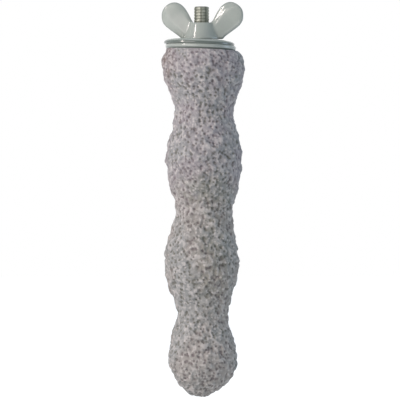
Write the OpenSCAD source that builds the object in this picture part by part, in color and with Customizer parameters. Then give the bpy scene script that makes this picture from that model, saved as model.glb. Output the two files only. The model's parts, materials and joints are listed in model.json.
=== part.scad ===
// A bird perch that clamps to the wires of a cage.
// A wavy body, cast from sand and cement, holds a bolt by its buried head. Two loose
// washers and a wing nut on the bolt's free end grip the cage wires between them.
// Lengths are in millimetres and angles in degrees. Z runs along the bolt, and the
// origin is on its axis, at the face of the inner washer that meets the cage.

/* [Perch body] */
// Length from the seat under the washers to the round end
body_len = 148.5; // [120:0.5:190]
// Widest diameter, at the swell next to the washers
body_d = 35.8; // [32:0.2:44]
// Diameter of the seat that the inner washer lies on
seat_d = 30.5; // [30.1:0.1:31.5]
// How far the cast seat is out of square with the bolt
seat_tilt = 2.2; // [0:0.1:3]

/* [Bolt] */
// Outside diameter of the thread
bolt_d = 6.35; // [5:0.05:6.6]
// Length from the underside of the head to the tip
bolt_len = 63.5; // [45:0.5:75]
// Length of the end that shows above the wing nut
bolt_free = 6.6; // [4:0.1:12]
// Length of the threaded part
thread_len = 19.05; // [18:0.05:30]
// Rise of the thread in one turn
thread_pitch = 1.27; // [1:0.01:1.75]
// Bevel at the tip
tip_bevel = 0.4; // [0.2:0.1:1.2]
// Width of the buried hexagon head, across its flats
head_w = 11.1; // [9:0.1:14]
// Thickness of the buried head
head_t = 4; // [3:0.1:6]

/* [Washers] */
// Diameter of each washer
washer_d = 30; // [24:0.1:30]
// Thickness of each washer
washer_t = 2.1; // [1.4:0.05:3]
// Diameter of the hole in each washer
washer_hole_d = 9; // [9:0.1:10]
// Radius of the rounded edges
washer_edge = 0.65; // [0.2:0.05:0.65]
// How far the loose inner washer has slipped to the left of the bolt's axis
inner_slip = 0.4; // [0:0.05:1.1]
// How far the loose outer washer has slipped to the left of the bolt's axis
outer_slip = 1.1; // [0:0.05:1.1]

/* [Wing nut] */
// Width over both wings
wing_span = 34.9; // [30:0.1:42]
// Height from the bearing face to the top of the wings
nut_h = 15.9; // [14:0.1:20]
// Height of the hub
hub_h = 7.1; // [6:0.1:10]
// Diameter of the hub at its foot
hub_foot_d = 14; // [12:0.1:16]
// Diameter of the hub at its top
hub_top_d = 9.6; // [8.6:0.1:11]
// Diameter of the rounded end of each wing
ear_d = 10.9; // [8:0.1:12]
// Thickness of each wing at its rounded end
ear_t = 3.2; // [2:0.1:3.4]
// Thickness of each wing where it leaves the hub
root_t = 3.8; // [3:0.1:5]
// How far the nut has been turned from the bolt's X axis when the clamp is closed
nut_turn = -7; // [-90:1:90]

/* [Hidden] */
$fn = 64;

// Gap between the thread's crests and the bore that runs on them
run_gap = 0.1;
// Gap left round the bolt where the body is cast on it
cast_gap = 0.02;
// Depth of the countersinks that lead the bolt into the wing nut
lead_in = 0.5;
// Overrun of every cut
over = 1;

// Swells and necks: how far down the body they lie, as shares of its length, and how wide
// they are and how far they stray to the right of the bolt, as shares of its widest diameter
swell_at_share = [0.044, 0.319, 0.605, 0.878];
swell_share = [1, 0.918, 0.894, 0.834];
swell_stray_share = [0.014, 0.031, 0, 0.011];
neck_at_share = [0.176, 0.475, 0.764];
neck_share = [0.706, 0.68, 0.62];
neck_stray_share = [0.032, 0.027, 0.011];
// Below 1 the swells are fuller than a plain sine wave
fullness_share = 0.75;
// Above 1 the end is more pointed than half a ball
point_share = 1.35;
// Straight runs that draw each rise, fall and end of the outline, and flats round the body
runs = 7;
flats = 36;
// Main lumps of the casting, a broad kind and a narrow kind: how high both stand together,
// how many go round the body, and how far apart they are along it
lump_h = 0.55;
lumps_round = [5, 9];
lump_gap = [11.3, 7.9];
// How far the rows of lumps sway, as shares of their spacing, over what length they sway
// round the body, and how many times they sway along it in one turn
lump_sway = [0.6, 0.4];
sway_len = [83, 57];
sways_round = [2, 3];
// Depth below the seat, and radius, from which the lumps have their full height
lump_from = 6;

// Thread: the width and depth of its grooves as shares of the pitch, and the width of the
// groove that parts the free end from the thread which the nut runs on
groove_w_share = 0.36;
groove_h_share = 0.32;
relief_w_share = 0.55;

// Wing nut: the foot's height as a share of the hub's, and the wings' rounded rims as a
// share of their thickness
foot_share = 0.11;
rim_share = 0.42;
// Fuller lower part of each wing's rounded end: its diameter, and how far its middle lies in
// from the wing's tip and below the wing's top, as shares of the end's diameter
belly_share = 0.77;
belly_in_share = 0.41;
belly_down_share = 0.615;
// How far each end of a wing's root lies out from the hub's side, and in from the hub's
// top or its foot, as shares of the root's thickness
root_top_out_share = 0.26;
root_top_in_share = 0.34;
root_foot_out_share = 0.05;
root_foot_in_share = 0.53;

// Levels along Z: the seat, the nut's bearing face and its top, the bolt's tip and its head
seat_z = -washer_t;
nut_z = washer_t / cos(seat_tilt) + hub_foot_d / 2 * tan(seat_tilt);
nut_top_z = nut_z + hub_h;
tip_z = nut_top_z + bolt_free;
head_z = tip_z - bolt_len - head_t;

// Grooves of the thread, and where the free end starts above the nut
groove_w = thread_pitch * groove_w_share;
groove_h = thread_pitch * groove_h_share;
relief_w = thread_pitch * relief_w_share;
relief_z = nut_top_z + relief_w / 2;
free_z = nut_top_z + relief_w;

function mix(a, b, share) = a + (b - a) * share;
function rise(share) = pow((1 - cos(180 * share)) / 2, fullness_share);

// Points of the body's outline, as [radius, depth below the seat, stray to the right]
function swell(i) = [
    body_d / 2 * swell_share[i],
    body_len * swell_at_share[i],
    body_d * swell_stray_share[i]];
function neck(i) = [
    body_d / 2 * neck_share[i],
    body_len * neck_at_share[i],
    body_d * neck_stray_share[i]];
function between(low, high, share, depth) = [mix(low[0], high[0], share), depth, mix(low[2], high[2], share)];
function shoulder() = [for (k = [0 : runs - 1])
    between([seat_d / 2, 0, 0], swell(0), pow(sin(90 * k / runs), fullness_share), swell(0)[1] * k / runs)];
function fall(i) = [for (k = [0 : runs - 1])
    between(neck(i), swell(i), rise(1 - k / runs), mix(swell(i)[1], neck(i)[1], k / runs))];
function climb(i) = [for (k = [0 : runs - 1])
    between(neck(i), swell(i + 1), rise(k / runs), mix(neck(i)[1], swell(i + 1)[1], k / runs))];
function round_end(i) = [for (k = [0 : runs - 1])
    [
        swell(i)[0] * pow(cos(90 * k / runs), point_share),
        mix(swell(i)[1], body_len, sin(90 * k / runs)),
        swell(i)[2]]];
function waves() = [for (i = [0 : len(neck_share) - 1]) each concat(fall(i), climb(i))];
function body_outline() = concat(shoulder(), waves(), round_end(len(swell_share) - 1));

// How far the lumps stand out at an angle round the body and at a point of its outline
function lump(i, a, depth) =
    sin(lumps_round[i] * a + 360 * lump_sway[i] * sin(360 * depth / sway_len[i]))
    * cos(360 * depth / lump_gap[i] + 90 * lump_sway[i] * sin(sways_round[i] * a));
function lumps(a, p) = p[1] < 0 ? 0 :
    lump_h / 2 * (lump(0, a, p[1]) + lump(1, a, p[1])) * min(1, p[1] / lump_from) * min(1, p[0] / lump_from);
function skin_point(a, p) = [
    p[2] + (p[0] + lumps(a, p)) * cos(a),
    (p[0] + lumps(a, p)) * sin(a),
    seat_z - p[1]];

// The two triangles between one flat of a ring and the same flat of the next ring
function skin_pair(first, j) =
    let (a = first + j, b = first + (j + 1) % flats)
    [[a, b, a + flats], [b, b + flats, a + flats]];

// Space that the buried bolt takes up, grown by a gap on every side
module bolt_space(gap) {
    translate([0, 0, head_z + head_t])
        cylinder(h = bolt_len, d = bolt_d + 2 * gap);
    translate([0, 0, head_z - gap])
        cylinder(h = head_t + 2 * gap, d = (head_w + 2 * gap) / cos(30), $fn = 6);
}

// All that lies above the tilted plane of the seat
module above_seat() {
    translate([0, 0, seat_z])
        rotate([0, seat_tilt, 0])
            translate([-body_d, -body_d, 0])
                cube([2 * body_d, 2 * body_d, body_d]);
}

// The casting's lumpy skin, closed by a flat top above the seat and by a point at the tip
module skin() {
    rim = seat_d * tan(seat_tilt) + over;
    rings = concat([[seat_d / 2, -rim, 0]], body_outline());
    last = (len(rings) - 1) * flats;
    tip = [0, body_len, swell(len(swell_share) - 1)[2]];
    polyhedron(
        concat(
            [for (p = rings) for (j = [0 : flats - 1]) skin_point(360 * j / flats, p)],
            [skin_point(0, tip)]),
        concat(
            [[for (j = [flats - 1 : -1 : 0]) j]],
            [for (first = [0 : flats : last - flats]) for (j = [0 : flats - 1]) each skin_pair(first, j)],
            [for (j = [0 : flats - 1]) [last + j, last + (j + 1) % flats, last + flats]]));
}

// Body: cast in one piece, and cut off along the seat
module perch_body() {
    color("darkgray")
        difference() {
            skin();
            above_seat();
            bolt_space(cast_gap);
        }
}

// Half of one thread groove's outline, with its bottom at height z
function groove(z, w) = [
    [bolt_d / 2, z - w / 2],
    [bolt_d / 2 - groove_h, z],
    [bolt_d / 2, z + w / 2]];

// Bolt: a hexagon head, a plain shank and a thread drawn as rings at the true pitch
module anchor_bolt() {
    below = floor((relief_z - tip_z + thread_len) / thread_pitch);
    above = floor((tip_z - tip_bevel - free_z) / thread_pitch);
    color("gray") {
        rotate_extrude()
            polygon(concat(
                [[0, head_z + head_t], [bolt_d / 2, head_z + head_t]],
                [for (i = [below : -1 : 1]) each groove(relief_z - i * thread_pitch, groove_w)],
                groove(relief_z, relief_w),
                [for (i = [1 : 1 : above]) each groove(relief_z + i * thread_pitch, groove_w)],
                [[bolt_d / 2, tip_z - tip_bevel], [bolt_d / 2 - tip_bevel, tip_z], [0, tip_z]]));
        translate([0, 0, head_z])
            cylinder(h = head_t, d = head_w / cos(30), $fn = 6);
    }
}

// A flat ring with rounded rims, standing on the plane z = 0
module washer() {
    difference() {
        rotate_extrude() {
            square([washer_d / 2 - washer_edge, washer_t]);
            translate([0, washer_edge])
                square([washer_d / 2, washer_t - 2 * washer_edge]);
            for (z = [washer_edge, washer_t - washer_edge])
                translate([washer_d / 2 - washer_edge, z])
                    circle(r = washer_edge);
        }
        translate([0, 0, -over])
            cylinder(h = washer_t + 2 * over, d = washer_hole_d);
    }
}

// Inner washer: lies on the tilted seat, slipped a little to the left
module inner_washer() {
    color("silver")
        translate([0, 0, seat_z])
            rotate([0, seat_tilt, 0])
                translate([-inner_slip, 0, 0])
                    washer();
}

// Outer washer: lies on the inner one, slipped further to the left
module outer_washer() {
    color("silver")
        translate([0, 0, seat_z])
            rotate([0, seat_tilt, 0])
                translate([-outer_slip, 0, washer_t])
                    washer();
}

// A round plate in the XZ plane with a rounded rim, for the hull of a wing
module round_plate(d, t) {
    edge = t * rim_share;
    rotate([90, 0, 0])
        for (a = [0 : 30 : 90])
            cylinder(h = t - 2 * edge * (1 - sin(a)), d = d - 2 * edge * (1 - cos(a)),
                center = true, $fn = 32);
}

// One wing: a rounded end that thickens towards the two ends of its root in the hub
module wing() {
    hull() {
        translate([(wing_span - ear_d) / 2, 0, nut_h - ear_d / 2])
            round_plate(ear_d, ear_t);
        translate([wing_span / 2 - ear_d * belly_in_share, 0, nut_h - ear_d * belly_down_share])
            round_plate(ear_d * belly_share, ear_t);
        translate([hub_top_d / 2 + root_t * root_top_out_share, 0, hub_h - root_t * root_top_in_share])
            round_plate(root_t, root_t);
        translate([hub_foot_d / 2 + root_t * root_foot_out_share, 0, root_t * root_foot_in_share])
            round_plate(root_t, root_t);
    }
}

// Wing nut: a conical hub on a low foot, with two wings
module wing_nut() {
    bore_d = bolt_d + 2 * run_gap;
    color("silver")
        translate([0, 0, nut_z])
            difference() {
                union() {
                    cylinder(h = hub_h, d1 = hub_foot_d, d2 = hub_top_d);
                    cylinder(h = hub_h * foot_share, d = hub_foot_d);
                    for (side = [0, 180])
                        rotate([0, 0, nut_turn + side])
                            wing();
                }
                translate([0, 0, -over])
                    cylinder(h = nut_h + 2 * over, d = bore_d);
                cylinder(h = lead_in, d1 = bore_d + 2 * lead_in, d2 = bore_d);
                translate([0, 0, hub_h - lead_in])
                    cylinder(h = lead_in, d1 = bore_d, d2 = bore_d + 2 * lead_in);
            }
}

perch_body();
anchor_bolt();
inner_washer();
outer_washer();
wing_nut();
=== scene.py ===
import json
import math

import bpy
import numpy as np
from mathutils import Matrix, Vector, noise


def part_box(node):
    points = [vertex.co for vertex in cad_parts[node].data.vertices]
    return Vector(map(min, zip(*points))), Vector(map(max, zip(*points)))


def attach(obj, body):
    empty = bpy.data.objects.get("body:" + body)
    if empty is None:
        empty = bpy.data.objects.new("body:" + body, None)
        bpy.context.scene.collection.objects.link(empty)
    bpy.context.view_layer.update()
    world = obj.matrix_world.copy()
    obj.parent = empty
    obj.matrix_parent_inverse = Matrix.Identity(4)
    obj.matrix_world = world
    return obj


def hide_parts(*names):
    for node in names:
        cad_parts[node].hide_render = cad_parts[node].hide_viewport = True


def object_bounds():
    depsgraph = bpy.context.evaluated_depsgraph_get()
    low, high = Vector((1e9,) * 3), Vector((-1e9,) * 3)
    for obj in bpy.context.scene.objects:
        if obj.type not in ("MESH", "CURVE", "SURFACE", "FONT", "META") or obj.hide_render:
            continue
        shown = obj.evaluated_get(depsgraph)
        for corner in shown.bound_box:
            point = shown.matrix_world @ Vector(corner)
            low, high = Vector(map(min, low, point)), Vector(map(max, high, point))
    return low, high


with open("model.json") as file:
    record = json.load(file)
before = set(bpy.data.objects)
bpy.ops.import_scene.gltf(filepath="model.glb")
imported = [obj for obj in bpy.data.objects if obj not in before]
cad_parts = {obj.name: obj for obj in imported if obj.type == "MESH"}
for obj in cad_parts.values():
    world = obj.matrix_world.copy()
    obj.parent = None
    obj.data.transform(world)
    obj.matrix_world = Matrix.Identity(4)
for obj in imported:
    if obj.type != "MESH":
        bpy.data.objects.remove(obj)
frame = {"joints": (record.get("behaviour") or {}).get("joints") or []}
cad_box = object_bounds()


# Perch body
# The stick that the bird stands on: one casting of coarse sand and pumice grains in pale
# cement, poured round the bolt. Air and lost grains leave it pitted like pumice, a little
# flatter just under the washers, where the mould was filled and struck off.
mm = 0.001
bolt_low, bolt_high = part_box("anchor_bolt")

# The inner washer's seat, which is square to the axis that the washer turns on
washer_joint = next(joint for joint in frame["joints"] if joint["name"] == "inner_washer_turn")
seat_normal = Vector(washer_joint["axis"])
seat_slope = seat_normal.x / seat_normal.z
seat_z = washer_joint["pos_m"][2]
seat_r = 15.2 * mm
seat_rings = 14

# The cavity that the casting leaves for the bolt's shank and head
bolt_hole_r = 3.2 * mm
head_hole_r = 6.5 * mm
head_t = 4 * mm
head_top_z = bolt_low.z + head_t
cast_gap = 0.02 * mm

# The skin's mesh: how far apart its rings lie, and how many points each has
grid_step = 0.42 * mm
grid_turns = 252

# Heights between which the top of the skin leans over with the seat
lean_from_z = -12 * mm
lean_full_z = -2 * mm

# The casting's main lumps: how many go round it, how far apart they are along it, how far
# their rows sway round it and over what length, and how often they sway along it
lump_rows = ((5, 11.3 * mm, 0.6, 83 * mm, 2), (9, 7.9 * mm, 0.4, 57 * mm, 3))
lump_h = 0.55 * mm
lump_from = 6 * mm

# The knobs and crumbs of the skin, and the air bubbles that open as pits in it: about how far
# apart they lie, how high or deep they are, and how wide and how ragged an opening is
knob_gap = 3.4 * mm
knob_h = 0.62 * mm
crumb_gap = 1.6 * mm
crumb_h = 0.3 * mm
bubble_gap = 1.7 * mm
bubble_r = 0.84 * mm
bubble_floor_r = 0.3 * bubble_r
bubble_ragged = 0.14 * mm
pit_h = 0.5 * mm

# The hollows between crumbs count as pits too, but only this much
crumb_pit = 0.4

# Depths under the seat between which the knobs and pits grow to their full size, and the share
# of it that they have at the seat
struck_off = 0.2 * mm
full_relief = 5 * mm
knobs_at_seat = 0.35
pits_at_seat = 0.5

# Faint stains of the casting, and olive darker patches across its front: where their patches lie and how
# far they reach, in millimetres, and how strong they are
stains = {
    "rust": [((-17, -6, -7.5), (7, 9, 9), 1.0)],
    "olive_patch": [((5, -14, -92), (9, 10, 27), 1.0), ((-2, -15, -63), (24, 12, 8.5), 0.9)]}
blotch_gap = 2.5 * mm

# The casting's colours, as linear red, green and blue, and the sizes of its grains and clouds
lower_cement = (0.368, 0.352, 0.335, 1)
upper_cement = (0.362, 0.343, 0.363, 1)
grey_cement = (0.317, 0.337, 0.343, 1)
rust_colour = (0.21, 0.165, 0.155, 1)
olive_patch_colour = (0.22, 0.22, 0.17, 1)
pumice_colour = (0.60, 0.57, 0.555, 1)
slate_colour = (0.15, 0.155, 0.16, 1)
grit_colour = (0.16, 0.145, 0.13, 1)
# Wear with painted highlight for the crests, and mud with painted shade for the pits
wear_and_highlight_colour = (0.60, 0.57, 0.56, 1)
brown_mud_and_shade = (0.13, 0.105, 0.115, 1)
green_mud_and_shade = (0.115, 0.115, 0.085, 1)
batch_low_z = -80 * mm
batch_high_z = -50 * mm
grain_size = 1.15 * mm
grit_size = 0.35 * mm
cement_cloud_size = 14 * mm

# The skin's outline under the seat: height, radius, and how far the casting strays to the
# right of the bolt's axis there
skin_outline = np.array([
    (-2.1, 15.25, 0.2), (-3.75, 16.3, 0.85), (-5.95, 17.15, 0.8), (-8.95, 17.65, 0.8),
    (-15.25, 16.4, 0.9), (-20.55, 14.4, 1.15), (-27.95, 12.4, 1.2), (-35.55, 13.6, 1.0),
    (-42.95, 15.5, 1.15), (-49.85, 16.0, 1.0), (-58.75, 14.9, 1.0), (-65.75, 12.9, 1.25),
    (-71.95, 11.95, 0.95), (-78.75, 13.4, 0.4), (-85.95, 15.0, 0.0), (-92.55, 15.7, -0.1),
    (-99.95, 15.0, 0.0), (-107.55, 12.3, 0.1), (-114.75, 10.75, 0.45), (-122.75, 12.7, 0.3),
    (-132.95, 14.6, 0.4), (-138.55, 13.4, 0.6), (-143.15, 10.9, 0.5), (-146.7, 7.2, 0.1),
    (-149.0, 3.3, -0.1), (-149.85, 0.0, -0.1)]) * mm


def smooth_run(a, b, c, d, share):
    """Points on the smooth curve from b to c that comes from a and goes on to d."""
    return b + ((c - a) * share + (2 * a - 5 * b + 4 * c - d) * share ** 2
                + (3 * b - 3 * c + d - a) * share ** 3) / 2


def curve_through(points, beyond, step):
    """Points a step apart along a smooth curve through these ones; beyond is what it heads for."""
    fine_steps = 32
    row = np.vstack([2 * points[0] - points[1], points, beyond])
    share = np.linspace(0, 1, fine_steps, endpoint=False)[:, None]
    runs = [smooth_run(*four, share) for four in zip(row, row[1:], row[2:], row[3:])]
    fine = np.vstack(runs + [points[-1:]])
    length = np.concatenate([[0], np.cumsum(np.linalg.norm(np.diff(fine[:, :2], axis=0), axis=1))])
    stops = np.linspace(0, length[-1], round(length[-1] / step) + 1)
    return np.column_stack([np.interp(stops, length, column) for column in fine.T])


def turned_points(radius, height, angle):
    """Points at these radii, heights and angles round the bolt's axis, one row for each ring."""
    return np.stack([radius * np.cos(angle), radius * np.sin(angle), height + 0 * angle], axis=-1)


def turned_faces(rings, turns, joined=False):
    """Faces between rings of points, whose last ring is joined to the first or else both capped."""
    spot = np.arange(turns)
    after = (spot + 1) % turns
    lower = np.arange(rings if joined else rings - 1)[:, None] * turns
    upper = (lower + turns) % (rings * turns)
    quads = np.stack([lower + spot, lower + after, upper + after, upper + spot], axis=-1)
    caps = [] if joined else [spot[::-1].tolist(), (spot + (rings - 1) * turns).tolist()]
    return quads.reshape(-1, 4).tolist() + caps


def new_piece(name, points, faces, material, body, node):
    """A smooth mesh piece that rides on a body and stands for a node of the CAD."""
    mesh = bpy.data.meshes.new(name)
    mesh.from_pydata(points.reshape(-1, 3).tolist(), [], faces)
    mesh.validate()
    mesh.shade_smooth()
    mesh.materials.append(material)
    piece = bpy.data.objects.new(name, mesh)
    bpy.context.scene.collection.objects.link(piece)
    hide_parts(node)
    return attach(piece, body)


def keep_values(piece, name, values):
    """Stores one number for each point of a piece, for its material to read."""
    attribute = piece.data.attributes.new(name, "FLOAT", "POINT")
    attribute.data.foreach_set("value", np.ravel(values).astype(np.float32))


def rough(points, size):
    """Smooth random values, about -0.7 to 0.7, whose bumps are this size across."""
    return np.array([noise.noise(point) for point in (points / size).tolist()])


def fade(values, low, high):
    """0 below low, 1 above high, and a smooth rise between them."""
    share = np.clip((values - low) / (high - low), 0, 1)
    return share * share * (3 - 2 * share)


def add_node(tree, kind, inputs=(), **settings):
    """A new shader node with these settings, its inputs set to a value or linked to a socket."""
    node = tree.nodes.new("ShaderNode" + kind)
    for name, value in settings.items():
        setattr(node, name, value)
    for name, value in dict(inputs).items():
        if isinstance(value, bpy.types.NodeSocket):
            tree.links.new(value, node.inputs[name])
        else:
            node.inputs[name].default_value = value
    return node


def mixed(tree, share, first, second):
    """The colour between two colours, given as values or sockets."""
    # The Mix node's sockets for colours are its inputs 6 and 7 and its output 2
    inputs = {0: share, 6: first, 7: second}
    return add_node(tree, "Mix", inputs, data_type="RGBA").outputs[2]


def ramped(tree, value, low, high, start=0.0, end=1.0):
    """A value eased from start to end as the input goes from low to high."""
    inputs = {"Value": value, "From Min": low, "From Max": high, "To Min": start, "To Max": end}
    return add_node(tree, "MapRange", inputs, interpolation_type="SMOOTHSTEP").outputs["Result"]


def combined(tree, operation, first, second):
    """The product, difference or larger one of two numbers."""
    return add_node(tree, "Math", {0: first, 1: second}, operation=operation).outputs[0]


def stored(tree, name):
    """The number that keep_values has stored on the piece under this name."""
    return add_node(tree, "Attribute", attribute_name=name).outputs["Fac"]


def new_finish(name):
    """A new material, its nodes and its surface shader."""
    material = bpy.data.materials.new(name)
    material.use_nodes = True
    return material, material.node_tree, material.node_tree.nodes["Principled BSDF"]


def add_bump(tree, surface, height, strength, distance):
    """Bumps a surface shader by a height that changes over the piece."""
    bump = add_node(tree, "Bump", {"Strength": strength, "Distance": distance, "Height": height})
    tree.links.new(bump.outputs["Normal"], surface.inputs["Normal"])


def new_group(name, inputs, outputs):
    """A new shader node group, with the sockets that it is given and those that it fills."""
    group = bpy.data.node_groups.new(name, "ShaderNodeTree")
    for way, sockets in (("INPUT", inputs), ("OUTPUT", outputs)):
        for socket, kind in sockets.items():
            group.interface.new_socket(socket, in_out=way, socket_type="NodeSocket" + kind)
    return group, group.nodes.new("NodeGroupInput").outputs, group.nodes.new("NodeGroupOutput").inputs


def cover_group():
    """The effect of wear, grime, stains, painted shade and painted highlights: one colour covers another
    where a value is high.
    """
    group, given, filled = new_group("cover", {
        "Under": "Color", "Over": "Color", "Where": "Float", "Low": "Float", "High": "Float",
        "Most": "Float"}, {"Colour": "Color"})
    share = ramped(group, given["Where"], given["Low"], given["High"], 0, given["Most"])
    group.links.new(mixed(group, share, given["Under"], given["Over"]), filled["Colour"])
    return group


cover = cover_group()


def covered(tree, under, over, where, low=0.0, high=1.0, most=1.0):
    """The cover effect in a material. Over's share is most where the value is above high."""
    inputs = {"Under": under, "Over": over, "Where": where, "Low": low, "High": high, "Most": most}
    return add_node(tree, "Group", inputs, node_tree=cover).outputs["Colour"]


def clouds_group():
    """The effect of uneven tone: one colour lies over another in clouds."""
    group, given, filled = new_group("clouds", {
        "Place": "Vector", "Scale": "Float", "Detail": "Float", "Under": "Color", "Over": "Color",
        "Low": "Float", "High": "Float", "Least": "Float", "Most": "Float"},
        {"Colour": "Color", "Cloud": "Float"})
    inputs = {"Vector": given["Place"], "Scale": given["Scale"], "Detail": given["Detail"]}
    cloud = add_node(group, "TexNoise", inputs).outputs["Fac"]
    share = ramped(group, cloud, given["Low"], given["High"], given["Least"], given["Most"])
    group.links.new(mixed(group, share, given["Under"], given["Over"]), filled["Colour"])
    group.links.new(cloud, filled["Cloud"])
    return group


clouds = clouds_group()


def clouded(tree, place, size, detail, under, over, low, high, least=0.0, most=1.0):
    """The clouds effect in a material. Over's share is least where the noise is below low."""
    inputs = {"Place": place, "Scale": 1 / size, "Detail": detail, "Under": under, "Over": over,
              "Low": low, "High": high, "Least": least, "Most": most}
    return add_node(tree, "Group", inputs, node_tree=clouds).outputs


def cast_mineral():
    """Cement and pumice: pale grains in many tones, with a gritty bump, mud and painted shade in the pits,
    and wear and painted highlight on the crests.
    """
    material, tree, surface = new_finish("cast_mineral")
    place = add_node(tree, "TexCoord").outputs["Object"]
    level = add_node(tree, "SeparateXYZ", {"Vector": place}).outputs["Z"]

    # Cement of two tones, with grey clouds and stains
    batch = covered(tree, lower_cement, upper_cement, level, batch_low_z, batch_high_z)
    cement = clouded(tree, place, size=cement_cloud_size, detail=3, under=batch, over=grey_cement,
                     low=0.42, high=0.62, most=0.7)
    rusty = covered(tree, cement["Colour"], rust_colour, stored(tree, "rust"), most=0.9)
    stained = covered(tree, rusty, olive_patch_colour, stored(tree, "olive_patch"), most=0.5)

    # Grains of pale pumice and dark slate, with fine grit over all
    grain = add_node(tree, "TexVoronoi", {"Vector": place, "Scale": 1 / grain_size}).outputs
    tone = add_node(tree, "SeparateColor", {"Color": grain["Color"]}).outputs
    middle = ramped(tree, grain["Distance"], 0.25, 0.6, 1, 0)
    pale = combined(tree, "MULTIPLY", ramped(tree, tone["Red"], 0.5, 0.9), middle)
    dark = combined(tree, "MULTIPLY", ramped(tree, tone["Green"], 0.72, 0.95), middle)
    pumice = covered(tree, stained, pumice_colour, pale, most=0.75)
    slate = covered(tree, pumice, slate_colour, dark, most=0.6)
    gritty = clouded(tree, place, size=grit_size, detail=4, under=slate, over=grit_colour,
                     low=0.3, high=0.7, least=0.25, most=0)

    # The crests are worn pale and painted lighter as highlight, and the pits hold mud and are painted dark
    # as shade
    pit_mud_and_shade = covered(tree, brown_mud_and_shade, green_mud_and_shade, cement["Cloud"], low=0.42, high=0.58)
    crest_lit = covered(tree, gritty["Colour"], wear_and_highlight_colour, stored(tree, "crest"), low=0.1, most=0.45)
    pit_shaded = covered(tree, crest_lit, pit_mud_and_shade, stored(tree, "pit"), low=0.1, high=0.9, most=0.62)
    tree.links.new(pit_shaded, surface.inputs["Base Color"])
    height = combined(tree, "SUBTRACT", gritty["Cloud"], grain["Distance"])
    add_bump(tree, surface, height, strength=0.6, distance=0.25 * mm)
    surface.inputs["Roughness"].default_value = 0.95
    surface.inputs["Specular IOR Level"].default_value = 0.2
    return material


# The bolt's cavity and the flat seat come first on the outline, and then the skin
cavity = np.array([
    (bolt_low.z - cast_gap, head_hole_r), (head_top_z, head_hole_r), (head_top_z, bolt_hole_r)])
seat = np.column_stack([np.full(seat_rings, seat_z), np.linspace(bolt_hole_r, seat_r, seat_rings)])
skin = curve_through(skin_outline, skin_outline[-2] * (1, -1, 1), grid_step)
outline = np.vstack([np.pad(np.vstack([cavity, seat[:-1]]), ((0, 0), (0, 1))), skin[:-1]])
height, radius, stray = (column[:, None] for column in outline.T)
angle = np.linspace(0, 2 * math.pi, grid_turns, endpoint=False)[None, :]
smooth_skin = turned_points(radius, height, angle)
along = np.gradient(outline[:, :2], axis=0)
along /= np.linalg.norm(along, axis=1)[:, None]
outward = turned_points(-along[:, :1], along[:, 1:], angle)

# The relief of the skin: main lumps, knobs with crumbs on them, and pits. Each pattern of
# noise is taken at a place of its own, so that no two of them run alike.
spots = smooth_skin.reshape(-1, 3)
on_skin = np.repeat(np.arange(len(outline)) >= len(cavity) + len(seat), grid_turns)
depth = seat_z - height
lumps = 0
for count, gap, sway, sway_gap, twist in lump_rows:
    around = np.sin(count * angle + 2 * math.pi * sway * np.sin(2 * math.pi * depth / sway_gap))
    lumps += around * np.cos(2 * math.pi * depth / gap + math.pi / 2 * sway * np.sin(twist * angle))
lumps *= lump_h / 2 * np.clip(depth / lump_from, 0, 1) * np.clip(radius / lump_from, 0, 1)
knobs = rough(spots + 0.5, knob_gap)
crumbs = rough(spots + 1.0, crumb_gap) + 0.5 * rough(spots + 1.5, crumb_gap / 2)
to_bubble = bubble_gap * np.array([noise.voronoi(point)[0][0] for point in (spots / bubble_gap).tolist()])
bubble = 1 - fade(to_bubble + crumbs * bubble_ragged, bubble_floor_r, bubble_r)
pit = np.where(on_skin, np.clip(bubble + crumb_pit * fade(-crumbs, 0.1, 0.6), 0, 1), 0)
crest = np.where(on_skin, fade(crumbs, 0.0, 0.45) * (1 - pit), 0)
grown = fade(seat_z - spots[:, 2], struck_off, full_relief)
knob_relief = knobs * knob_h * (knobs_at_seat + (1 - knobs_at_seat) * grown)
pit_relief = pit * pit_h * (pits_at_seat + (1 - pits_at_seat) * grown)
relief = knob_relief + crumbs * crumb_h - pit_relief + lumps.ravel()
relief = np.where(on_skin, relief, 0).reshape(smooth_skin.shape[:2])
body_points = smooth_skin + outward * relief[..., None]
body_points[..., 0] += stray
body_points[..., 2] -= body_points[..., 0] * seat_slope * fade(height, lean_from_z, lean_full_z)

# The outline runs downwards, so the faces point into the body until they are turned round
body = new_piece("perch_casting", body_points, turned_faces(len(outline), grid_turns), cast_mineral(),
                 "perch", "perch_body")
body.data.flip_normals()
keep_values(body, "pit", pit)
keep_values(body, "crest", crest)

# The stains are blotchy
blotches = 0.7 + 0.8 * rough(spots, blotch_gap)
for name, patches in stains.items():
    stain = sum(
        strength * np.exp(-np.linalg.norm((spots / mm - middle) / reach, axis=1) ** 2)
        for middle, reach, strength in patches)
    keep_values(body, name, stain * blotches)


# Anchor bolt
# A zinc plated steel bolt with a rolled quarter inch thread, 20 turns an inch. Its hexagon
# head and shank are cast into the body, and its dull, slightly grimy end, with painted dark reflection
# bands along it, shows above the nut.
bolt_r = 3.175 * mm
thread_pitch = 1.27 * mm
thread_len = 19.05 * mm
thread_low_z = bolt_high.z - thread_len
thread_step = 0.1 * mm
bolt_turns = 72

# Depth of the thread's groove, and how wide its bottom and its opening are to each side of its
# middle, as shares of the pitch
groove_depth = 0.22 * mm
groove_bottom = 0.02
groove_half = 0.24

# The tip stands a little higher than the CAD's, as in the photograph, with its corner rolled in
tip_z = bolt_high.z + 0.25 * mm
tip_bevel = 0.4 * mm
tip_corner = 0.1 * mm

# The head's radius across its flats, and its rings: how high they lie, and their shares of it
head_r = 5.55 * mm
head_rings = np.array([
    (bolt_low.z, 0.9), (bolt_low.z + 0.35 * mm, 0.99), (head_top_z - 0.1 * mm, 1.0), (head_top_z, 0.985)])

# Where painted dark reflection bands run along the bolt, and how wide they are, in degrees round it from
# the front
reflection_bands = ((-5, 7), (34, 10), (-57, 13), (96, 10), (150, 18), (215, 12))

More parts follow.
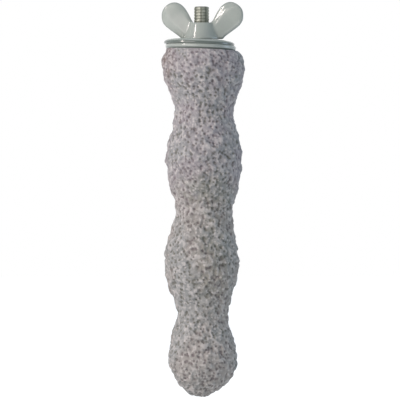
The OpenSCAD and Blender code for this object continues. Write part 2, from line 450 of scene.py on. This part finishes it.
pale_plate = (0.41, 0.425, 0.365, 1)
dull_plate = (0.3, 0.315, 0.265, 1)
reflection_band_colour = (0.13, 0.14, 0.11, 1)
grime_colour = (0.09, 0.095, 0.075, 1)


def marks_group():
    """The effect of rubbed finishes: fine marks, drawn out where the stretch is below 1."""
    group, given, filled = new_group("marks", {
        "Place": "Vector", "Stretch": "Vector", "Scale": "Float", "Detail": "Float"}, {"Mark": "Float"})
    drawn = add_node(group, "Mapping", {"Vector": given["Place"], "Scale": given["Stretch"]}).outputs[0]
    inputs = {"Vector": drawn, "Scale": given["Scale"], "Detail": given["Detail"]}
    group.links.new(add_node(group, "TexNoise", inputs).outputs["Fac"], filled["Mark"])
    return group


marks = marks_group()


def marked(tree, place, stretch, size, detail):
    """The marks effect in a material."""
    inputs = {"Place": place, "Stretch": stretch, "Scale": 1 / size, "Detail": detail}
    return add_node(tree, "Group", inputs, node_tree=marks).outputs["Mark"]


def bolt_steel():
    """Dull zinc plating with faint drawing marks, painted dark reflection bands, and grime down in the
    thread.
    """
    material, tree, surface = new_finish("bolt_steel")
    place = add_node(tree, "TexCoord").outputs["Object"]
    plate = clouded(tree, place, size=1.6 * mm, detail=4, under=pale_plate, over=dull_plate,
                    low=0.35, high=0.65)
    # Painted reflection: dark bands along the bolt
    banded = covered(tree, plate["Colour"], reflection_band_colour, stored(tree, "reflection_band"), most=0.8)
    grimy = covered(tree, banded, grime_colour, stored(tree, "groove"), low=0.1, high=0.9, most=0.25)
    tree.links.new(grimy, surface.inputs["Base Color"])
    tree.links.new(ramped(tree, plate["Cloud"], 0.3, 0.7, 0.45, 0.6), surface.inputs["Roughness"])
    drawing = marked(tree, place, stretch=(1, 1, 0.12), size=0.25 * mm, detail=3)
    add_bump(tree, surface, drawing, strength=0.25, distance=0.05 * mm)
    surface.inputs["Metallic"].default_value = 0.6
    return material


turn = np.linspace(0, 1, bolt_turns, endpoint=False)[None, :]
hexagon = head_r / np.cos((turn * 6 % 1 - 0.5) * math.pi / 3)
thread_z = np.arange(thread_low_z, tip_z - tip_corner / 2, thread_step)
shaft_z = np.concatenate([[head_top_z], thread_z, [tip_z - tip_corner / 2, tip_z]])[:, None]
spiral = np.abs((shaft_z / thread_pitch - turn + 0.5) % 1 - 0.5)
groove = 1 - fade(spiral, groove_bottom, groove_half)
groove *= fade(shaft_z, thread_low_z, thread_low_z + thread_pitch)
shaft_r = np.minimum(bolt_r - groove * groove_depth, bolt_r - tip_bevel + tip_z - shaft_z)
shaft_r[-1] -= tip_corner
bolt_z = np.concatenate([head_rings[:, :1], shaft_z])
bolt_ring_r = np.vstack([hexagon * head_rings[:, 1:], shaft_r])
bolt = new_piece("threaded_bolt", turned_points(bolt_ring_r, bolt_z, 2 * math.pi * turn),
                 turned_faces(len(bolt_z), bolt_turns), bolt_steel(), "perch", "anchor_bolt")
keep_values(bolt, "groove", np.vstack([np.zeros((len(head_rings), bolt_turns)), groove]))

# The bolt's front, towards the photograph's viewer, is at 270 degrees round it
from_front = turn * 360 - 270
# Painted reflection: dark bands along the bolt, set round it from its front
reflection_band = sum(np.exp(-(((from_front - at + 180) % 360 - 180) / wide) ** 2) for at, wide in reflection_bands)
keep_values(bolt, "reflection_band", np.minimum(reflection_band, 1) + 0 * bolt_z)


# Washers
# Two loose thick washers, moulded in the same pale grey-green nylon as the wing nut. They lie on
# the body's slanting seat and grip the cage wires between them. The outer one is domed.
washer_r = 15 * mm
washer_hole_r = 4.5 * mm
washer_half = -seat_z / 2
washer_flat_r = 9 * mm
washer_turns = 144

# Roundings of the washers: their holes, the domed one's foot and dome, and the plain one's rim,
# which is rounder below than above
hole_edge = 0.25 * mm
foot_edge = 0.3 * mm
dome_w = 3.4 * mm
dome_h = 1.4 * mm
rim_edge = 0.6 * mm
plain_foot = 1.3 * mm

# The rim of each washer is painted darker, as shade under it where it meets the seat or the other washer,
# below a height of its own, which is measured from its middle. The painted shade fades out over this
# distance there, and begins and is full this far in from the edge.
rim_shade_blur = 0.35 * mm
rim_shade_from = 1.5 * mm
rim_shade_full = 0.6 * mm

pale_nylon = (0.362, 0.402, 0.370, 1)
deep_nylon = (0.342, 0.380, 0.354, 1)
speck_colour = (0.285, 0.32, 0.298, 1)
# Painted shade for the washers' lower rims and the wings' edges
rim_shade_colour = (0.12, 0.145, 0.13, 1)


def moulded_nylon():
    """Pale grey-green nylon with a soft gloss, cloudy in tone, with fine scuffs and ripples, and painted
    shade along its rims.
    """
    material, tree, surface = new_finish("moulded_nylon")
    place = add_node(tree, "TexCoord").outputs["Object"]
    cloudy = clouded(tree, place, size=5 * mm, detail=3, under=pale_nylon, over=deep_nylon,
                     low=0.3, high=0.7)
    speckled = clouded(tree, place, size=0.5 * mm, detail=3, under=cloudy["Colour"],
                       over=speck_colour, low=0.62, high=0.8, most=0.3)
    # Painted shade along the wings' edges and the washers' lower rims
    rim_shaded = covered(tree, speckled["Colour"], rim_shade_colour, stored(tree, "rim"), most=0.95)
    tree.links.new(rim_shaded, surface.inputs["Base Color"])
    scuffs = marked(tree, place, stretch=(0.25, 1, 1), size=0.4 * mm, detail=5)
    tree.links.new(ramped(tree, scuffs, 0.4, 0.75, 0.11, 0.22), surface.inputs["Roughness"])
    add_bump(tree, surface, speckled["Cloud"], strength=0.1, distance=0.2 * mm)
    surface.inputs["Specular IOR Level"].default_value = 0.7
    return material


def arc(center, across, up, start, end, steps):
    """Points (distance from the axis, height) on an elliptic arc, from one angle to another."""
    degrees = np.radians(np.linspace(start, end, steps))
    return np.column_stack([center[0] + across * np.cos(degrees), center[1] + up * np.sin(degrees)])


def washer_points(node, section):
    """A ring of this section, in the place and at the slant of a CAD washer."""
    low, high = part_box(node)
    upright = Vector((0, 0, 1)).rotation_difference(seat_normal).to_matrix()
    around = np.linspace(0, 2 * math.pi, washer_turns, endpoint=False)[None, :]
    ring = turned_points(section[:, :1], section[:, 1:], around)
    return ring @ np.array(upright).T + np.array((low + high) / 2)


hole_wall = np.vstack([
    arc((washer_hole_r + hole_edge, washer_half - hole_edge), hole_edge, hole_edge, 90, 180, 5),
    arc((washer_hole_r + hole_edge, hole_edge - washer_half), hole_edge, hole_edge, 180, 270, 5),
    [(washer_flat_r, -washer_half)]])
plain_section = np.vstack([
    hole_wall,
    arc((washer_r - rim_edge, plain_foot - washer_half), rim_edge, plain_foot, -90, 0, 9),
    arc((washer_r - rim_edge, washer_half - rim_edge), rim_edge, rim_edge, 0, 90, 9),
    [(washer_flat_r, washer_half)]])
domed_section = np.vstack([
    hole_wall,
    arc((washer_r - foot_edge, foot_edge - washer_half), foot_edge, foot_edge, -90, -5, 9),
    arc((washer_r - dome_w, washer_half - dome_h), dome_w, dome_h, 5, 90, 14)])
nylon = moulded_nylon()
washers = (("inner_washer", plain_section, -0.25 * mm), ("outer_washer", domed_section, 0.15 * mm))
for name, section, shade_to in washers:
    ring = new_piece(name + "_ring", washer_points(name, section),
                     turned_faces(len(section), washer_turns, joined=True), nylon,
                     name, name)
    # Painted shade on the washer's lower rim
    rim = fade(section[:, 0], washer_r - rim_shade_from, washer_r - rim_shade_full)
    rim *= 1 - fade(section[:, 1], shade_to - rim_shade_blur, shade_to + rim_shade_blur)
    keep_values(ring, "rim", np.repeat(rim, washer_turns))


# Wing nut
# Moulded in one piece from the washers' nylon: a cone with a low foot, and two wings to turn it
# by hand, whose edges are bevelled and rounded. The wings run into the cone in soft fillets.
nut_low, nut_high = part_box("wing_nut")
hub_foot_r = 7 * mm
hub_top_r = 4.8 * mm
hub_h = 7.1 * mm
foot_h = 0.85 * mm
bore_r = 3.275 * mm
bore_ridge = 0.1 * mm
lead_in = 0.5 * mm

# The hub's side leans, so a point is this much nearer to it than it is on the level
hub_lean = 0.96

# The right wing's outline, from the hub's top over its tip to the hub's foot and back: how far
# out and how high
wing_line = np.array([
    (1.0, 5.78), (3.2, 6.48), (4.4, 7.83), (5.4, 9.95), (6.5, 11.93), (7.7, 13.68), (9.2, 15.03),
    (10.8, 15.78), (12.4, 15.93), (14.1, 15.46), (15.7, 14.4), (16.95, 12.9), (17.5, 11.08),
    (17.5, 9.18), (17.1, 7.53), (15.85, 5.78), (13.85, 4.18), (11.5, 2.49), (9.75, 1.2), (9.1, 0.5),
    (8.6, 0.14), (7.2, 0.1), (5.0, 0.1), (1.0, 0.1), (0.6, 2.58)]) * mm

# Half a wing's thickness at its tip and at its root, and the radii between which it changes
tip_half = 1.6 * mm
root_half = 2.0 * mm
thin_from = 7 * mm
thin_to = 16 * mm

# The nut stands turned from the X axis, and its wings a little to the right of the hub's axis,
# as in the photograph
wing_turn = math.radians(-7)
wing_shift = 0.35 * mm

# The bevel round a wing slopes this much. It is wide below the wing's middle line on one face and
# above it on the other, and changes to narrow over this distance. The line starts at middle_x and
# middle_z, and goes out and up in this direction.
bevel_slope = 0.46
wide_bevel = 2.9 * mm
narrow_bevel = 0.8 * mm
bevel_change = 3 * mm
middle_x, middle_z = 5.4 * mm, 3.6 * mm
middle_out, middle_up = 0.69, 0.72

# How softly the nut's forms run into each other
fillet_soft = 0.9 * mm
bevel_soft = 0.8 * mm
hub_soft = 0.5 * mm
rim_soft = 0.45 * mm
foot_soft = 0.2 * mm
corner_soft = 0.12 * mm

# The mesh's cells, how far round the nut they reach, how often its points are moved towards the
# skin, how far the slope there is felt for, and the least slope that a move reckons with
nut_step = 0.2 * mm
nut_margin = 0.5 * mm
settle_times = 5
slope_reach = 0.01 * mm
least_slope = 0.2

# Painted shade: the wings are this much darker along their rounded edges, from and up to these distances
# in. The hub isn't, and the painted shade grows from the first of these radii to the second.
edge_shade = 0.5
edge_shade_from = 0.75 * mm
edge_shade_full = 0.1 * mm
hub_end_r = 7.3 * mm
wing_start_r = 8.5 * mm


def loop_through(points, steps):
    """A smooth closed loop through these points."""
    four = (np.roll(points, shift, axis=0)[:, None, :] for shift in (1, 0, -1, -2))
    share = np.linspace(0, 1, steps, endpoint=False)[None, :, None]
    return smooth_run(*four, share).reshape(-1, 2)


wing_loop = loop_through(wing_line, steps=5)


def loop_distance(x, z):
    """How far points lie outside the wing's outline, below 0 inside it."""
    nearest = np.full(x.shape, np.inf)
    crossings = np.zeros(x.shape, dtype=int)
    for (ax, az), (bx, bz) in zip(wing_loop, np.roll(wing_loop, -1, axis=0)):
        ex, ez = bx - ax, bz - az
        share = np.clip(((x - ax) * ex + (z - az) * ez) / (ex * ex + ez * ez), 0, 1)
        nearest = np.minimum(nearest, (x - ax - share * ex) ** 2 + (z - az - share * ez) ** 2)
        if ez:
            crossings += ((az > z) != (bz > z)) & (x < ax + (z - az) * ex / ez)
    return np.sqrt(nearest) * np.where(crossings % 2, -1, 1)


def both(a, b, blend):
    """The larger of two distances, rounded off where they are alike."""
    return (a + b + np.sqrt((a - b) ** 2 + blend ** 2)) / 2


def wing_bevel(x, y, z):
    """Width of a wing's bevel, which is narrow at one of its edges and wide at the other."""
    below = (np.abs(x) - middle_x) * middle_up - (z - middle_z) * middle_out
    return narrow_bevel + (wide_bevel - narrow_bevel) * fade(below * np.sign(x * y), 0, bevel_change)


def to_wings(x, y):
    """How far points lie along the wings and across them, from their X and Y in the frame."""
    cos, sin = math.cos(wing_turn), math.sin(wing_turn)
    return x * cos + y * sin, y * cos - x * sin


def nut_distance(x, y, z):
    """How far points lie outside the wing nut, roughly, below 0 inside it."""
    z = z - nut_low.z
    x, y = to_wings(x, y)
    from_axis = np.hypot(x, y)
    cone = (from_axis - hub_foot_r + (hub_foot_r - hub_top_r) * z / hub_h) * hub_lean
    foot = both(from_axis - hub_foot_r, z - foot_h, foot_soft)
    hub = both(np.minimum(cone, foot), z - hub_h, hub_soft)
    rim = loop_distance(np.abs(x - wing_shift), z)
    thick = root_half + (tip_half - root_half) * fade(np.hypot(x, z), thin_from, thin_to)
    bevelled = np.abs(y) - thick + bevel_slope * both(rim + wing_bevel(x, y, z), 0, bevel_soft)
    wing = both(rim, bevelled, rim_soft)
    solid = both(-both(-hub, -wing, fillet_soft), -z, corner_soft)
    thread = bore_ridge * (1 + np.cos(2 * math.pi * (z + nut_low.z) / thread_pitch - np.arctan2(y, x)))
    lead = np.clip(np.maximum(lead_in - z, z - hub_h + lead_in), 0, lead_in)
    return both(solid, bore_r + thread + lead - from_axis, corner_soft)


def skin_of(form, low, high, step):
    """The points and quads of a mesh over a form that is given by its distances."""
    x, y, z = np.meshgrid(*(np.arange(a, b + step, step) for a, b in zip(low, high)), indexing="ij")
    inside = form(x, y, z) < 0
    corners = sum(inside[i:i - 1 or None, j:j - 1 or None, k:k - 1 or None].astype(int)
                  for i in (0, 1) for j in (0, 1) for k in (0, 1))
    crossed = (corners > 0) & (corners < 8)
    number = np.full(crossed.shape, -1)
    number[crossed] = np.arange(crossed.sum())

    # Each crossed cell has one point, which moves down or up the distances' slope to the skin
    points = np.array(low) + (np.argwhere(crossed) + 0.5) * step
    for _ in range(settle_times):
        now = form(*points.T)
        beside = [form(*(points + shift).T) for shift in np.eye(3) * slope_reach]
        slope = np.stack([(there - now) / slope_reach for there in beside], axis=-1)
        move = np.clip(now, -step, step) / np.maximum((slope ** 2).sum(axis=1), least_slope)
        points -= slope * move[:, None]

    # Each grid edge that passes through the skin has one quad, between the four cells round it
    faces = []
    for axis in range(3):
        i, j, k = np.nonzero(inside != np.roll(inside, -1, axis=axis))
        cell = np.stack([i, j, k], axis=-1)
        side, up = np.eye(3, dtype=int)[[(axis + 1) % 3, (axis + 2) % 3]]
        four = [number[tuple((cell - shift).T)] for shift in (0 * side, side, side + up, up)]
        quad = np.stack(four, axis=-1)
        faces += np.where(inside[i, j, k][:, None], quad, quad[:, ::-1]).tolist()
    return points, faces


nut_points, nut_faces = skin_of(
    nut_distance, (nut_low.x - nut_margin, -hub_foot_r - nut_margin, nut_low.z - nut_margin),
    (nut_high.x + nut_margin, hub_foot_r + nut_margin, nut_high.z + nut_margin), nut_step)
nut = new_piece("moulded_wing_nut", nut_points, nut_faces, nylon, "wing_nut", "wing_nut")
nut_x, nut_y, nut_z = nut_points.T
to_edge = loop_distance(np.abs(to_wings(nut_x, nut_y)[0] - wing_shift), nut_z - nut_low.z)
on_wing = fade(np.hypot(nut_x, nut_y), hub_end_r, wing_start_r)
# Painted shade along the wings' edges
keep_values(nut, "rim", edge_shade * fade(to_edge, -edge_shade_from, -edge_shade_full) * on_wing)


# Camera, floor and light
# The photograph's view: level with the middle of the perch, from 1.3 m away, with a tall
# strip lamp and a broad soft one at the left, a weak one at the right and a white studio.
photo_pixels = 400
pixel = 0.426 * mm
camera_distance = 1.3
camera_x = -0.68 * mm
camera_z = -66 * mm
lamps_aim_z = -60 * mm

# The room's tint, and its level on its dim side and on its bright one, which is behind the perch
room_tint = (0.92, 1.0, 1.08, 1)
room_dim = 0.37
room_bright = 0.70
bright_side = (0.0, 0.98, 0.1)

# The floor is pale paper that shines a little, so that it is nearly white to the lens
floor_half = 4
floor_drop = 50 * mm
paper_colour = (0.8, 0.8, 0.8, 1)
paper_glow = 0.62
paper_to_object = (0.84, 0.85, 0.84, 1)

# The lens takes in the photograph's width at the perch's distance
camera_data = bpy.data.cameras.new("camera")
camera_data.sensor_width = 36
camera_data.lens = camera_data.sensor_width * camera_distance / (photo_pixels * pixel)
camera = bpy.data.objects.new("camera", camera_data)
camera.location = (camera_x, -camera_distance, camera_z)
camera.rotation_euler = (math.radians(90), 0, 0)
bpy.context.scene.collection.objects.link(camera)
bpy.context.scene.camera = camera
bpy.context.scene.view_settings.view_transform = "Standard"


def lamp(name, azimuth, elevation, distance, width, height, level, tint):
    """A soft lamp that faces the perch, at an azimuth in degrees that is below 0 to the camera's
    left. Its level is how bright it makes a white card that faces it."""
    data = bpy.data.lights.new(name, "AREA")
    data.shape = "RECTANGLE"
    data.size = width
    data.size_y = height
    data.energy = level * math.pi ** 2 * distance ** 2
    data.color = tint
    light = bpy.data.objects.new(name, data)
    side, rise = math.radians(azimuth), math.radians(elevation)
    back = Vector((math.sin(side) * math.cos(rise), -math.cos(side) * math.cos(rise), math.sin(rise)))
    light.location = Vector((0, 0, lamps_aim_z)) + back * distance
    light.rotation_euler = back.to_track_quat("Z", "Y").to_euler()
    bpy.context.scene.collection.objects.link(light)


lamp("strip_lamp", azimuth=-60, elevation=25, distance=1.4, width=0.13, height=0.9,
     level=0.43, tint=(1.13, 1.0, 0.95))
lamp("soft_lamp", azimuth=-36, elevation=12, distance=1.5, width=1.1, height=1.1,
     level=0.31, tint=(1.13, 1.0, 0.97))
lamp("side_lamp", azimuth=95, elevation=8, distance=1.6, width=0.7, height=0.9,
     level=0.12, tint=(0.8, 1.0, 1.28))


def white_to_lens(tree, output, plain, white, glossy_share=1.0):
    """Shows the white shader to the camera and in reflections, and the plain one to the rest."""
    rays = add_node(tree, "LightPath").outputs
    glossy = combined(tree, "MULTIPLY", rays["Is Glossy Ray"], glossy_share)
    seen = combined(tree, "MAXIMUM", rays["Is Camera Ray"], glossy)
    seen = combined(tree, "MAXIMUM", seen, rays["Is Transmission Ray"])
    shown = add_node(tree, "MixShader", {0: seen, 1: plain.outputs[0], 2: white.outputs[0]})
    tree.links.new(shown.outputs[0], output)


# The room is brightest behind the perch, where the white backdrop stands
world = bpy.data.worlds.new("studio")
bpy.context.scene.world = world
world.use_nodes = True
room = world.node_tree
way = add_node(room, "TexCoord").outputs["Generated"]
facing = add_node(room, "VectorMath", {0: way, 1: bright_side}, operation="DOT_PRODUCT").outputs["Value"]
plain = add_node(room, "Background", {
    "Color": room_tint, "Strength": ramped(room, facing, -1, 1, room_dim, room_bright)})
white = add_node(room, "Background", {"Color": (1, 1, 1, 1), "Strength": 1})
behind = ramped(room, add_node(room, "SeparateXYZ", {"Vector": way}).outputs["Y"], 0.45, 0.95)
white_to_lens(room, room.nodes["World Output"].inputs["Surface"], plain, white, behind)

floor_z = cad_box[0][2] - floor_drop
floor_corners = [(x * floor_half, y * floor_half, floor_z) for x, y in ((-1, -1), (1, -1), (1, 1), (-1, 1))]
floor_mesh = bpy.data.meshes.new("floor")
floor_mesh.from_pydata(floor_corners, [], [(0, 1, 2, 3)])
floor = bpy.data.objects.new("floor", floor_mesh)
bpy.context.scene.collection.objects.link(floor)
paper, sheet, paper_surface = new_finish("floor_paper")
paper_surface.inputs["Base Color"].default_value = paper_colour
paper_surface.inputs["Roughness"].default_value = 1
paper_surface.inputs["Specular IOR Level"].default_value = 0
glow = add_node(sheet, "Emission", {"Color": (1, 1, 1, 1), "Strength": paper_glow})
white_paper = add_node(sheet, "AddShader", {0: paper_surface.outputs[0], 1: glow.outputs[0]})
dim_paper = add_node(sheet, "BsdfDiffuse", {"Color": paper_to_object})
white_to_lens(sheet, sheet.nodes["Material Output"].inputs["Surface"], dim_paper, white_paper)
floor_mesh.materials.append(paper)
